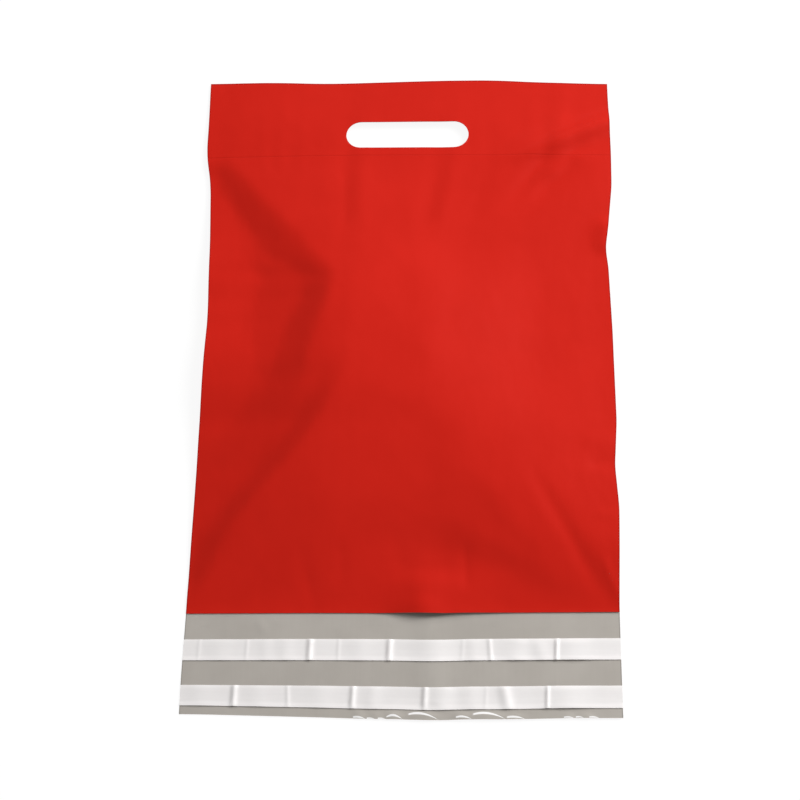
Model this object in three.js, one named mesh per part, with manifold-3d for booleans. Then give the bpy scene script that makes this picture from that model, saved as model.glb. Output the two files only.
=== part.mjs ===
// Poly mailer bag with a die-cut carry handle, lying face up on a table with a little air in it.
// One web of film is folded at the handle end and welded along both sides and once across, so
// it makes a pouch that is open at the mouth. The back panel runs on past the mouth as a closing
// lip, which carries two bands of adhesive under peel-off liners: one to send, one to return.
// Millimetres. X runs across the bag, Y from the lip's end to the folded end, Z up from the table.
import * as THREE from "three";
import Module from "manifold-3d";
import { mergeVertices } from "three/addons/utils/BufferGeometryUtils.js";

// Film blank, measured flat
const BAG_WIDTH = 320;
const POUCH_LENGTH = 364; // mouth edge to the middle of the cross weld
const HANDLE_BAND = 66; // middle of the cross weld to the folded end
const LIP_LENGTH = 75; // the back panel's run past the mouth
const FILM = 0.08; // one wall of film

// Welds, and the air left between two walls that lie on each other
const SIDE_WELD = 3;
const CROSS_WELD = 3;
const LAYER_GAP = 0.2;

// Air in the pouch: the front panel's crown, and how squarely it fills out along and across
const PUFF_HEIGHT = 25;
const FULLNESS_ALONG = 2.4;
const FULLNESS_ACROSS = 2;

// The one place where the mouth gapes
const MOUTH_GAPE = 7;
const GAPE_WIDTH = 84;
const GAPE_FROM_MIDDLE = 17;
const GAPE_REACH = 70; // how far into the pouch the gape's hump fades out

// Die-cut handle slot with round ends
const SLOT_LENGTH = 97;
const SLOT_HEIGHT = 23.5;
const SLOT_FROM_FOLD = 35.4; // folded end to the slot's nearer edge

// Closing strips on the lip
const LINER_WIDTH = 15.5;
const LINER = 0.1;
const ADHESIVE_WIDTH = 12;
const ADHESIVE = 0.06;
const STRIP_SPACING = 18.3; // clear film between the two liners
const LIP_TAIL = 6.7; // clear film past the last liner

// Fineness of the faceting
const COLUMNS = 36;
const POUCH_ROWS = 30;
const FOLD_STEPS = [0, 30, 60]; // degrees round the folded edge
const SLOT_SEGMENTS = 16; // along each round end of the slot
const CUT_MARGIN = 5; // how far a cutting solid runs past what it cuts

// Places along Y, with the whole bag centred on the origin
const LIP_END = -(LIP_LENGTH + POUCH_LENGTH + HANDLE_BAND) / 2;
const MOUTH = LIP_END + LIP_LENGTH;
const CROSS_WELD_LINE = MOUTH + POUCH_LENGTH;
const POUCH_END = CROSS_WELD_LINE - CROSS_WELD / 2;
const HANDLE_START = CROSS_WELD_LINE + CROSS_WELD / 2;
const FOLD = CROSS_WELD_LINE + HANDLE_BAND;

const HALF_WIDTH = BAG_WIDTH / 2;
const TWO_WALLS = 2 * FILM + LAYER_GAP;

const manifold = await Module();
manifold.setup();

// A closed three.js geometry as a solid that can be cut.
function solidOf(geometry) {
  const bare = geometry.clone();
  bare.deleteAttribute("normal");
  bare.deleteAttribute("uv");
  const welded = mergeVertices(bare, 1e-4);
  return new manifold.Manifold(
    new manifold.Mesh({
      numProp: 3,
      vertProperties: new Float32Array(welded.attributes.position.array),
      triVerts: new Uint32Array(welded.index.array),
    }),
  );
}

// A cut solid back as a three.js geometry.
function geometryOf(solid) {
  const mesh = solid.getMesh();
  const geometry = new THREE.BufferGeometry();
  geometry.setAttribute("position", new THREE.BufferAttribute(mesh.vertProperties, 3));
  geometry.setIndex(new THREE.BufferAttribute(mesh.triVerts, 1));
  geometry.computeVertexNormals();
  return geometry;
}

// A closed solid lofted through cross-sections. A section is one closed line of points: its upper
// line from left to right, then its lower right and lower left corners. Both ends are rectangles.
function loft(sections) {
  const count = sections[0].length;
  const last = (sections.length - 1) * count;
  const index = [];
  for (let row = 0; row < last; row += count) {
    for (let i = 0; i < count; i += 1) {
      const a = row + i;
      const b = row + ((i + 1) % count);
      index.push(a, b, b + count, a, b + count, a + count);
    }
  }
  const corner = count - 1;
  for (let i = 0; i + 1 < corner; i += 1) {
    index.push(corner, i + 1, i);
    index.push(last + corner, last + i, last + i + 1);
  }
  const points = sections.flat().flatMap((point) => point.toArray());
  const geometry = new THREE.BufferGeometry();
  geometry.setAttribute("position", new THREE.Float32BufferAttribute(points, 3));
  geometry.setIndex(index);
  return geometry;
}

// One section at y: heights above the given x positions, and one level floor below them.
function section(y, xs, heightAt, floor) {
  const upper = xs.map((x) => new THREE.Vector3(x, y, heightAt(x)));
  const corners = [xs.at(-1), xs[0]].map((x) => new THREE.Vector3(x, y, floor));
  return [...upper, ...corners];
}

// How full the pouch is at y, from 0 at the mouth and the cross weld to 1 at its crown.
function fullnessAlong(y) {
  const fromMiddle = Math.abs((2 * (y - MOUTH)) / (POUCH_END - MOUTH) - 1);
  return fromMiddle < 1 ? 1 - fromMiddle ** FULLNESS_ALONG : 0;
}

// Film doesn't stretch, so the front panel keeps its flat width along its arc and the two
// side edges come closer together: an arc of height h is about 8 h^2 / 3 w longer than its chord.
function halfWidthAt(y) {
  const rise = PUFF_HEIGHT * fullnessAlong(y);
  return HALF_WIDTH - (4 * rise * rise) / (3 * BAG_WIDTH);
}

// The hump over the gape: a cosine bell across the mouth that fades out into the pouch.
function gapeAt(x, y) {
  const across = (2 * (x - GAPE_FROM_MIDDLE)) / GAPE_WIDTH;
  const along = (y - MOUTH) / GAPE_REACH;
  if (Math.abs(across) >= 1 || along < 0 || along >= 1) {
    return 0;
  }
  return MOUTH_GAPE * Math.cos((across * Math.PI) / 2) ** 2 * Math.cos((along * Math.PI) / 2) ** 2;
}

// Height of the front panel's outer face above the table.
function frontHeight(x, y) {
  const across = Math.abs(x) / (halfWidthAt(y) - SIDE_WELD);
  const pillow = across < 1 ? fullnessAlong(y) * (1 - across ** FULLNESS_ACROSS) : 0;
  return TWO_WALLS + PUFF_HEIGHT * pillow + gapeAt(x, y);
}

// X positions inside the two side welds at y, evenly spread.
function pouchColumns(y) {
  const reach = halfWidthAt(y) - SIDE_WELD;
  return Array.from({ length: COLUMNS + 1 }, (_, i) => reach * ((2 * i) / COLUMNS - 1));
}

// Y positions from the mouth to the cross weld, closer together at both ends.
function pouchRows() {
  const middle = (MOUTH + POUCH_END) / 2;
  const reach = (POUCH_END - MOUTH) / 2;
  const turns = Array.from({ length: POUCH_ROWS + 1 }, (_, i) => (Math.PI * i) / POUCH_ROWS);
  return turns.map((turn) => middle - reach * Math.cos(turn));
}

// The same out to the side edges.
function bagColumns(y) {
  const half = halfWidthAt(y);
  return [-half, ...pouchColumns(y), half];
}

// Outer form of the whole film: the flat lip, the filled pouch, the flat handle band, and the fold.
function outerForm() {
  const lip = [LIP_END, MOUTH].map((y) => section(y, bagColumns(y), () => FILM, 0));
  const pouch = pouchRows().map((y) => section(y, bagColumns(y), (x) => frontHeight(x, y), 0));
  const radius = TWO_WALLS / 2;
  const fold = FOLD_STEPS.map((degrees) => {
    const turn = THREE.MathUtils.degToRad(degrees);
    const y = FOLD - radius + radius * Math.sin(turn);
    const rise = radius * Math.cos(turn);
    return section(y, bagColumns(y), () => radius + rise, radius - rise);
  });
  return solidOf(loft([...lip, ...pouch, ...fold]));
}

// Air inside the pouch: one wall below the front panel and one above the table, open at the mouth.
function pouchAir() {
  const outside = section(MOUTH - CUT_MARGIN, pouchColumns(MOUTH), () => TWO_WALLS + MOUTH_GAPE, FILM);
  const inside = pouchRows().map((y) => section(y, pouchColumns(y), (x) => frontHeight(x, y) - FILM, FILM));
  return solidOf(loft([outside, ...inside]));
}

// Air between the two walls of the handle band, which the slot opens.
function handleAir() {
  const end = FOLD - TWO_WALLS / 2;
  const box = new THREE.BoxGeometry(BAG_WIDTH - 2 * SIDE_WELD, end - HANDLE_START, LAYER_GAP);
  box.translate(0, (HANDLE_START + end) / 2, TWO_WALLS / 2);
  return solidOf(box);
}

// The handle slot's punch, right through both walls.
function slotPunch() {
  const radius = SLOT_HEIGHT / 2;
  const reach = SLOT_LENGTH / 2 - radius;
  const outline = new THREE.Shape();
  outline.absarc(reach, 0, radius, -Math.PI / 2, Math.PI / 2);
  outline.absarc(-reach, 0, radius, Math.PI / 2, (3 * Math.PI) / 2);
  const punch = new THREE.ExtrudeGeometry(outline, {
    depth: TWO_WALLS + 2 * CUT_MARGIN,
    bevelEnabled: false,
    curveSegments: SLOT_SEGMENTS,
  });
  punch.translate(0, FOLD - SLOT_FROM_FOLD - radius, -CUT_MARGIN);
  return solidOf(punch);
}

function filmBag() {
  const film = outerForm().subtract(pouchAir()).subtract(handleAir()).subtract(slotPunch());
  return geometryOf(film);
}

function piece(name, geometry, material) {
  const mesh = new THREE.Mesh(geometry, material);
  mesh.name = name;
  return mesh;
}

const redFilm = new THREE.MeshStandardMaterial({ color: 0xce1c0e, roughness: 0.46, metalness: 0 });
const hotMelt = new THREE.MeshStandardMaterial({ color: 0xe3dcc7, roughness: 0.25, metalness: 0 });
const linerFilm = new THREE.MeshStandardMaterial({ color: 0xf6f2f1, roughness: 0.36, metalness: 0 });

// A band of adhesive on the lip and the wider liner over it, edge to edge across the bag.
function closingStrip(use) {
  const adhesive = new THREE.BoxGeometry(BAG_WIDTH, ADHESIVE_WIDTH, ADHESIVE);
  const liner = new THREE.BoxGeometry(BAG_WIDTH, LINER_WIDTH, LINER);
  const adhesiveMesh = piece(`${use}_adhesive`, adhesive, hotMelt);
  const linerMesh = piece(`${use}_liner`, liner, linerFilm);
  adhesiveMesh.position.z = FILM + ADHESIVE / 2;
  linerMesh.position.z = FILM + ADHESIVE + LINER / 2;
  return new THREE.Group().add(adhesiveMesh, linerMesh);
}

const bag = new THREE.Group();
bag.add(piece("film_bag", filmBag(), redFilm));

// The return strip lies at the lip's end, and the send strip between it and the mouth
["return", "send"].forEach((use, place) => {
  const strip = closingStrip(use);
  strip.position.y = LIP_END + LIP_TAIL + LINER_WIDTH / 2 + place * (LINER_WIDTH + STRIP_SPACING);
  bag.add(strip);
});

export default bag;
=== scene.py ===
"""Looks of a poly mailer bag with a carry slot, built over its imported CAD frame.

One web of film, red outside and grey inside, is folded, welded and laid on a table with some air in
it. Its form is worked out in millimetres, the unit that film is cut in, and goes into the meshes in
metres. X runs across the bag, Y from the lip's end to the folded end and Z up from the table.
"""

import logging
import math
from collections.abc import Mapping, Sequence
from dataclasses import dataclass
from enum import Enum
from typing import Protocol

import bpy
import numpy as np
from mathutils import Matrix, Vector


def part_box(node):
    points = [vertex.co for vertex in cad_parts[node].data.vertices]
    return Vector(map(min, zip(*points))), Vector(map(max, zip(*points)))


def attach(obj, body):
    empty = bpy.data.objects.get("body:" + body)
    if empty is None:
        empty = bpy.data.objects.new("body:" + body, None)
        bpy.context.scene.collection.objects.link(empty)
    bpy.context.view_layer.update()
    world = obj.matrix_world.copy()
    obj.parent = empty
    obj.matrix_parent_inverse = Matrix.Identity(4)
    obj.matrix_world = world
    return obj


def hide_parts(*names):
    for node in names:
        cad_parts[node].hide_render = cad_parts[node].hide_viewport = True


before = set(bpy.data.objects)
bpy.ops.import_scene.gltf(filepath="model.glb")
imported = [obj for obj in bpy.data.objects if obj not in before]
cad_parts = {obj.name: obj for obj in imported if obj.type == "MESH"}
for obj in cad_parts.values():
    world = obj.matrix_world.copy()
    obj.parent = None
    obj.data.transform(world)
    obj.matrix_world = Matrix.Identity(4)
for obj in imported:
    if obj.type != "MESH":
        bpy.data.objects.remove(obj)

log = logging.getLogger("mailer_bag")

Array = np.ndarray
Point = tuple[float, float]
Triple = tuple[float, float, float]
LinerCrease = tuple[float, float, float, float]

MM = 0.001
TINY = 1e-6
BODY = "root"
WEB_UV = "web"


class Side(Enum):
    """The two faces of a sheet, each with its place in the mesh's materials."""

    OUTSIDE = 0
    INSIDE = 1


class Use(Enum):
    """What a closing strip is for."""

    SEND = "send"
    RETURN = "return"


class Relief(Protocol):
    """Anything that lifts the film, such as a crease."""

    def heights(self, x: Array, y: Array) -> Array:
        """Give the lift at places across and along the bag."""


def ease(t: Array) -> Array:
    """Give the smooth step 3 t^2 - 2 t^3, held at 0 and 1 outside that range."""
    t = np.clip(t, 0.0, 1.0)
    return t * t * (3.0 - 2.0 * t)


def soft_min(surfaces: Sequence[Array], radius: float) -> Array:
    """Take the lowest of several surfaces, with the creases between them rounded.

    Formula: minus the radius times the log of the sum of exp(-surface / radius).

    Args:
        surfaces: Heights of each surface at the same places.
        radius: How far from a crease the rounding reaches, in height.

    Returns:
        The rounded lowest height at each place.
    """
    stack = np.stack(np.broadcast_arrays(*surfaces))
    lowest = stack.min(axis=0)
    return lowest - radius * np.log(np.exp((lowest - stack) / radius).sum(axis=0))


def lifted(z: Array, reliefs: Sequence[Relief], x: Array, y: Array) -> Array:
    """Add what several reliefs lift the film by to a surface.

    Args:
        z: Heights of the surface.
        reliefs: The creases, patches or puckers.
        x: Places across the bag.
        y: Places along the bag.

    Returns:
        Heights of the lifted surface.
    """
    for relief in reliefs:
        z = z + relief.heights(x, y)
    return z


def evened(heights: Array, passes: int) -> Array:
    """Even a grid of heights out with its neighbours.

    Formula: each pass takes half of a height and an eighth of each of its four neighbours.

    Args:
        heights: Grid of heights.
        passes: How many times to do so.

    Returns:
        The smoother grid.
    """
    for _ in range(passes):
        wide = np.pad(heights, 1, mode="edge")
        along = wide[:-2, 1:-1] + wide[2:, 1:-1]
        across = wide[1:-1, :-2] + wide[1:-1, 2:]
        heights = heights / 2.0 + (along + across) / 8.0
    return heights


def graded(stops: Sequence[float], pitches: Sequence[float]) -> Array:
    """Spread places over neighbouring stretches, each with its own pitch.

    Args:
        stops: Ends of the stretches, rising.
        pitches: The widest step allowed in each stretch.

    Returns:
        All places from the first stop to the last.
    """
    places = [np.array(stops[:1])]
    for start, end, pitch in zip(stops[:-1], stops[1:], pitches):
        steps = math.ceil((end - start) / pitch)
        places.append(np.linspace(start, end, steps + 1)[1:])
    return np.concatenate(places)


@dataclass(frozen=True)
class BentLine:
    """A line through a few points, with its corners rounded as far as soft on both sides."""

    stops: Sequence[float]
    values: Sequence[float]
    soft: float
    samples: int = 9

    def at(self, places: Array) -> Array:
        """Follow the line.

        Formula: the mean of the straight interpolation at a few samples spread over soft on both
        sides of a place.

        Args:
            places: Places to give the line's value at.

        Returns:
            The line's value at each place.
        """
        shifts = np.linspace(-self.soft, self.soft, self.samples)
        return np.mean([np.interp(places + shift, self.stops, self.values) for shift in shifts], axis=0)


@dataclass(frozen=True)
class Crease:
    """A soft ridge along a straight line in the film, or a valley where its rise is negative."""

    start: Point
    end: Point
    rise: float
    half_width: float
    fade_in: float = 0.25
    fade_out: float = 0.25

    def heights(self, x: Array, y: Array) -> Array:
        """Work out how far the crease lifts the film.

        Formula: the rise times a bell across the line, exp(-(distance / half width)^2), times a
        window along it that eases in round its start and out round its end, each over its own share
        of the length on both sides of that end.

        Args:
            x: Places across the bag.
            y: Places along the bag.

        Returns:
            Lift at each place.
        """
        run = np.subtract(self.end, self.start)
        length = math.hypot(*run)
        unit = run / length
        along = ((x - self.start[0]) * unit[0] + (y - self.start[1]) * unit[1]) / length
        across = (y - self.start[1]) * unit[0] - (x - self.start[0]) * unit[1]
        window = ease((along / self.fade_in + 1.0) / 2.0)
        window = window * ease(((1.0 - along) / self.fade_out + 1.0) / 2.0)
        return self.rise * window * np.exp(-((across / self.half_width) ** 2))


@dataclass(frozen=True)
class Patch:
    """A tilted patch of taut film: a line of lifts across the bag, faded in and out along it."""

    lift: BentLine
    share: BentLine

    def heights(self, x: Array, y: Array) -> Array:
        """Give the lift: the line across the bag times the share at that place along it."""
        return self.lift.at(x) * self.share.at(y)


@dataclass(frozen=True)
class Pucker:
    """A small puff in the loose tail of the lip, which rises towards the lip's cut end."""

    at: float
    half_width: float
    lift: float
    start: float = -247.6
    droop: float = 1.6
    run: float = 4.2

    def heights(self, x: Array, y: Array) -> Array:
        """Work out how far the puff lifts the film.

        Formula: the lift times a bell across the bag, exp(-((x - at) / half width)^2), eased in
        along the run below an arched line that droops with the squared distance from the middle.

        Args:
            x: Places across the bag.
            y: Places along the bag.

        Returns:
            Lift at each place.
        """
        off = ((x - self.at) / self.half_width) ** 2
        return self.lift * np.exp(-off) * ease((self.start - self.droop * off - y) / self.run)


@dataclass(frozen=True)
class Bank:
    """A bent ridge along the bag, left of which the film falls by a bank and a shelf to a flank.

    At the same places along the bag it gives where the ridge lies, the slope and reach of the bank
    and of the shelf, and the flank's gentle slope.
    """

    places: Sequence[float]
    ridge: Sequence[float]
    slope: Sequence[float]
    reach: Sequence[float]
    shelf: Sequence[float]
    shelf_reach: Sequence[float]
    gentle: Sequence[float]
    clearing: float = 0.45
    rounding: float = 0.7
    corner: float = 6.0
    soft: float = 4.5
    samples: int = 5

    def along(self, values: Sequence[float], y: Array) -> Array:
        """Give one of the bank's measures at places along the bag."""
        return BentLine(self.places, values, self.corner).at(y)

    def ridge_line(self, y: Array) -> Array:
        """Give the ridge's place across the bag."""
        return self.along(self.ridge, y)

    def fall(self, x: Array, y: Array) -> Array:
        """Work out how far the film has fallen from the ridge, well below 0 on its other side.

        Formula: the distance left of the ridge times the slope as far as the bank reaches, then
        times the shelf's slope as far as that reaches, and times the gentle slope for the rest.
        Right of the ridge it rises out of the way. The mean of a few such falls, with the distance
        shifted by up to soft, rounds the bends.

        Args:
            x: Places across the bag.
            y: Places along the bag.

        Returns:
            Fall at each place.
        """
        measures = (self.slope, self.reach, self.shelf, self.shelf_reach, self.gentle)
        slope, reach, shelf, shelf_reach, gentle = (self.along(values, y) for values in measures)
        ridge = self.ridge_line(y)
        falls = []
        for shift in np.linspace(-self.soft, self.soft, self.samples):
            beyond = ridge - x + shift
            bank = slope * np.clip(beyond, 0.0, reach) + self.clearing * np.minimum(beyond, 0.0)
            step = shelf * np.clip(beyond - reach, 0.0, shelf_reach)
            falls.append(bank + step + gentle * np.maximum(beyond - reach - shelf_reach, 0.0))
        return np.mean(falls, axis=0)

    def lower(self, z: Array, top: Array, x: Array, y: Array) -> Array:
        """Lower a surface beyond the ridge.

        Formula: the rounded lowest of the surface and of the ridge's height less the fall, which is
        raised first by what the rounding takes off where the two are equal.

        Args:
            z: Heights of the surface.
            top: Height of the ridge at the same places along the bag.
            x: Places across the bag.
            y: Places along the bag.

        Returns:
            Heights of the lowered surface.
        """
        bank = top - self.fall(x, y) + self.rounding * math.log(2.0)
        return soft_min((z, bank), self.rounding)


# Places across the bag that the lines of the dip above the mouth go by
DIP_ACROSS = (-140, -20, 34, 62, 90, 117, 150)


@dataclass(frozen=True)
class FilmForm:
    """How the filled bag lies: the heights of its walls above the table, in millimetres."""

    # The film's outline and wall, and how far its outer faces lie apart at a weld and at the fold
    half_width: float = 160.0
    mouth: float = -177.5
    weld: float = 186.5
    fold: float = 252.5
    lip_end: float = -252.5
    film: float = 0.08
    two_walls: float = 0.17
    fold_gap: float = 0.8

    # Humps where the mouth gapes
    gapes: Sequence[Crease] = (
        Crease((15, -152), (16, -192), 2.3, 20),
        Crease((42, -152), (44, -192), 1.5, 26),
        Crease((14, -167), (15, -195), 2.0, 16),
    )

    # Faces of the filled pouch, and how far the creases between them are rounded
    mouth_rise: BentLine = BentLine((-177.5, -85, -35, 60), (0.6, 14.2, 19.6, 34.0), 8.0)
    mouth_swell: BentLine = BentLine((-160, -60, 20, 110, 157), (0.0, 2.4, -0.8, 1.5, 2.2), 16.0)
    swell_run: float = 60.0
    weld_left: BentLine = BentLine((-180, 105, 186.5), (55.6, 18.6, 8.0), 8.0)
    weld_right: BentLine = BentLine((-180, 105, 186.5), (48.0, 11.2, 8.0), 8.0)
    right_share: BentLine = BentLine((-30, 50), (0.0, 1.0), 16.0)
    crest: BentLine = BentLine((-160, -50, 20, 100, 157), (26.6, 25.0, 18.8, 10.8, 6.8), 14.0)
    crest_from: float = 40.0
    crest_along: float = -0.02
    face_rounding: float = 2.0
    least_height: float = 0.5

    # Banks down to the left flank, the tilted plateau right of the crest and the crown at its left
    upper_bank: Bank = Bank(
        places=(-85, -45, -4, 20, 44, 65, 82, 90, 102, 120, 154, 173, 185),
        ridge=(-118, -98, -76, -70, -64, -57, -54, -60, -72, -87, -117, -133, -143),
        slope=(0.06, 0.12, 0.25, 0.31, 0.37, 0.39, 0.29, 0.23, 0.22, 0.24, 0.25, 0.25, 0.16),
        reach=(50, 40, 28, 24, 25, 21, 21, 29, 39, 34, 26, 17, 2),
        shelf=(0.0, 0.0, 0.08, 0.13, 0.13, 0.15, 0.16, 0.15, 0.08, 0.03, 0.03, 0.02, 0.0),
        shelf_reach=(0, 0, 8, 20, 30, 38, 37, 28, 10, 4, 0, 0, 0),
        gentle=(0.04, 0.03, 0.0, -0.01, -0.01, -0.03, -0.04, -0.03, 0.0, 0.03, 0.03, 0.02, 0.0),
        corner=3.0,
    )
    upper_bank_from: float = -95.0
    upper_bank_run: float = 40.0
    lower_bank: Bank = Bank(
        places=(-176, -157, -120, -93, -70, -33, 2, 14, 26),
        ridge=(-160, -144, -128, -109, -88, -61, -44, -43, -44),
        slope=(0.10, 0.27, 0.33, 0.39, 0.39, 0.33, 0.15, 0.03, 0.0),
        reach=(6, 14, 18, 19, 19, 18, 14, 10, 8),
        shelf=(0.08, 0.13, 0.16, 0.17, 0.16, 0.10, 0.05, 0.04, 0.04),
        shelf_reach=(4, 8, 10, 10, 10, 8, 4, 4, 4),
        gentle=(0.08, 0.12, 0.12, 0.12, 0.10, 0.06, 0.04, 0.04, 0.04),
    )
    plateau: Patch = Patch(
        BentLine((-40, 18, 97, 150), (0.0, 1.8, -2.5, -1.7), 9.0),
        BentLine((-40, 18, 80, 120), (0, 1, 1, 0), 9.0),
    )
    crown: Patch = Patch(
        BentLine((-62, 0), (1.7, 0.0), 9.0),
        BentLine((20, 58, 74, 92), (0, 1, 1, 0), 9.0),
    )

    # The dip above the mouth: its upper edge, how wide it eases down and how deep
    dip_edge: BentLine = BentLine(DIP_ACROSS, (-100, -96, -105, -118, -135, -154, -168), 16.0)
    dip_width: BentLine = BentLine(DIP_ACROSS, (30, 30, 30, 27, 24, 18, 8), 16.0)
    dip_depth: BentLine = BentLine(DIP_ACROSS, (0.3, 1.0, 1.5, 1.6, 1.6, 1.2, 0.3), 16.0)
    dip_run: float = 45.0

    # Lift of the folded end above the table
    fold_lift: BentLine = BentLine(
        (-160, -115, -60, 40, 100, 128, 152), (0.4, 1.6, 0.4, 2.6, 2.2, 1.8, 0.3), 20.0
    )

    # The back panel: how far from the welds and the mouth it comes down to the table
    side_reach: float = 55.0
    weld_reach: float = 80.0
    mouth_run: float = 25.0

    # Side edges: how far the air pulls them in
    left_pull: BentLine = BentLine(
        (-225, -110, -20, 50, 110, 165, 190, 220, 250),
        (0.8, 4.0, 6.8, 8.8, 7.2, 4.4, 0.3, 0.5, 0.2),
        10.0,
    )
    right_pull: BentLine = BentLine(
        (-249, -170, -99, -68, -33, 40, 92, 108, 125, 160, 190, 250),
        (0.3, 1.0, 0.0, 2.4, 0.3, 1.5, 3.4, 5.4, 3.0, -0.4, -0.5, 0.8),
        5.0,
    )

    # The ends and the mouth: how far they lie off a straight line, and from where the film follows
    fold_shift: BentLine = BentLine(
        (-156, -107, -66, 22, 70, 102, 150), (1.2, 1.5, 0.5, 1.8, 1.8, -0.2, -1.2), 14.0
    )
    fold_shift_from: float = 205.0
    lip_shift: BentLine = BentLine((-150, -20, 80, 120, 150), (1.8, -1.8, -2.2, -1.4, -1.6), 14.0)
    mouth_shift: BentLine = BentLine(
        (-160, -60, 0, 22, 50, 160), (-1.6, -0.5, -0.3, -0.9, 0.2, 1.6), 10.0
    )
    mouth_shift_run: float = 60.0

    panel_creases: Sequence[Crease] = (
        # gathers under the cross weld
        Crease((-48, 190), (-47, 122), -0.45, 7),
        Crease((-35, 190), (-34, 122), 0.35, 7),
        Crease((27, 190), (14, 125), -0.45, 7),
        Crease((40, 190), (27, 125), 0.45, 7),
        Crease((132, 205), (108, 140), 1.2, 26, 0.2, 0.4),
        Crease((66, 190), (50, 125), -0.30, 6),
        Crease((112, 188), (84, 150), -1.3, 6.5, 0.2, 0.45),
        Crease((135, 185), (98, 145), -1.4, 7, 0.2, 0.45),
        Crease((-115, 190), (-112, 170), 0.2, 4),
        Crease((-100, 190), (-98, 172), 0.2, 4),
        Crease((-84, 190), (-83, 170), 0.2, 4),
        # folds into the mouth
        Crease((-4, -126), (7, -180), -0.25, 5),
        Crease((14, -112), (18, -172), 0.3, 10),
        Crease((46, -128), (49, -160), -0.4, 3.5),
        Crease((-76, -128), (-64, -172), -0.35, 5),
        Crease((-46, -128), (-43, -155), -0.35, 4),
        # streaks on the lower right
        Crease((56, -76), (112, -148), 0.4, 9),
        Crease((103, -84), (144, -158), -0.9, 5.5, 0.4),
        Crease((147, -136), (159, -166), 0.7, 2.2),
        # puckers along the right edge
        Crease((157, 130), (154, 106), 1.8, 9),
        Crease((135, -48), (158, -50), 0.5, 6),
        Crease((138, -66), (158, -66), -0.6, 5),
        Crease((143, -105), (158, -105), 0.4, 3),
    )
    handle_creases: Sequence[Crease] = (
        Crease((100, 190.4), (178, 225.1), 4.7, 8.0, 0.4, 0.05),
        Crease((126, 220), (84, 195), 0.7, 5),
        Crease((140, 186), (112, 168), 1.0, 5),
        Crease((168, 212), (145, 145), 2.2, 22, 0.2, 0.5),
    )
    lip_reliefs: Sequence[Relief] = (
        Crease((20, -174), (24, -240), 0.9, 12),
        Crease((-104, -183), (-100, -192), 0.4, 3),
        Pucker(-29, 4, 0.6),
        Pucker(-17, 4, 0.5),
        Pucker(-4, 6, 0.8),
        Pucker(16, 12, 1.0),
        Pucker(44, 7, 0.8),
        Pucker(61, 15, 1.0),
        Pucker(82, 8, 0.7),
        Pucker(121, 4, 0.5),
        Pucker(134, 5, 0.6),
    )

    # How far the lip's end curls up, and how far past the mouth that starts
    curl: BentLine = BentLine((-160, -60, 40, 160), (0.2, 0.4, 1.0, 1.5), 30.0)
    curl_from: float = 12.0
    curl_power: float = 1.5
    lip_run: float = 8.0

    def roof(self, x: Array, y: Array) -> Array:
        """Work out the sloping faces that the air pushes up, before any bank or crease.

        Formula: the rounded lowest of three faces: one that rises from the mouth, with a swell
        across it, one that rises from the weld, more slowly on the right, and a bent one that falls
        to the right from a broad crest left of the middle. The tilted plateau and the crown are
        added to it.

        Args:
            x: Places across the bag.
            y: Places along the bag.

        Returns:
            Height of the roof at each place.
        """
        left = self.weld_left.at(y)
        right = self.weld_right.at(y)
        faces = (
            self.mouth_rise.at(y) + self.mouth_swell.at(x) * ease((y - self.mouth) / self.swell_run),
            left + (right - left) * self.right_share.at(x),
            self.crest.at(x) + self.crest_along * (y - self.crest_from),
        )
        return lifted(soft_min(faces, self.face_rounding), (self.plateau, self.crown), x, y)

    def lowered(self, x: Array, y: Array) -> Array:
        """Work out the roof with the dip above the mouth and the lower bank.

        Formula: the roof less the dip's depth, which eases in below the dip's edge and fades out at
        the mouth, lowered beyond the lower bank's ridge.

        Args:
            x: Places across the bag.
            y: Places along the bag.

        Returns:
            Height at each place.
        """
        below = (self.dip_edge.at(x) - y) / self.dip_width.at(x)
        fade = np.clip((y - self.mouth) / self.dip_run, 0.0, 1.0)
        z = self.roof(x, y) - self.dip_depth.at(x) * ease(below) * fade
        return self.lower_bank.lower(z, self.roof(self.lower_bank.ridge_line(y), y), x, y)

    def front(self, x: Array, y: Array) -> Array:
        """Work out the front panel from the mouth to the cross weld.

        Formula: the lowered roof, lowered again beyond the upper bank, which is eased in along the
        bag, with the creases and the gape's humps added.

        Args:
            x: Places across the bag.
            y: Places along the bag.

        Returns:
            Height of the front panel's outer face at each place.
        """
        z = self.lowered(x, y)
        ridge_top = self.lowered(self.upper_bank.ridge_line(y), y)
        upper = self.upper_bank.lower(z, ridge_top, x, y)
        z = z + (upper - z) * ease((y - self.upper_bank_from) / self.upper_bank_run)
        z = lifted(z, (*self.panel_creases, *self.handle_creases), x, y)
        return lifted(np.maximum(z, self.least_height), self.gapes, x, y)

    def handle(self, x: Array, y: Array) -> Array:
        """Work out the handle band from the cross weld to the folded end.

        Formula: a straight slope from the front panel's height at the weld to the folded end's
        lift, with the band's own creases added.

        Args:
            x: Places across the bag.
            y: Places along the bag.

        Returns:
            Height of the band's upper face at each place.
        """
        share = (self.fold - y) / (self.fold - self.weld)
        line = np.full_like(y, self.weld)
        lift = self.fold_lift.at(x) + self.fold_gap
        z = self.front(x, line) * share + lift * (1.0 - share)
        for crease in self.handle_creases:
            z = z + crease.heights(x, y) - crease.heights(x, line) * share
        return z

    def upper(self, x: Array, y: Array) -> Array:
        """Give the height of the front wall, from the mouth to the folded end."""
        return np.where(y < self.weld, self.front(x, y), self.handle(x, y))

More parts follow.
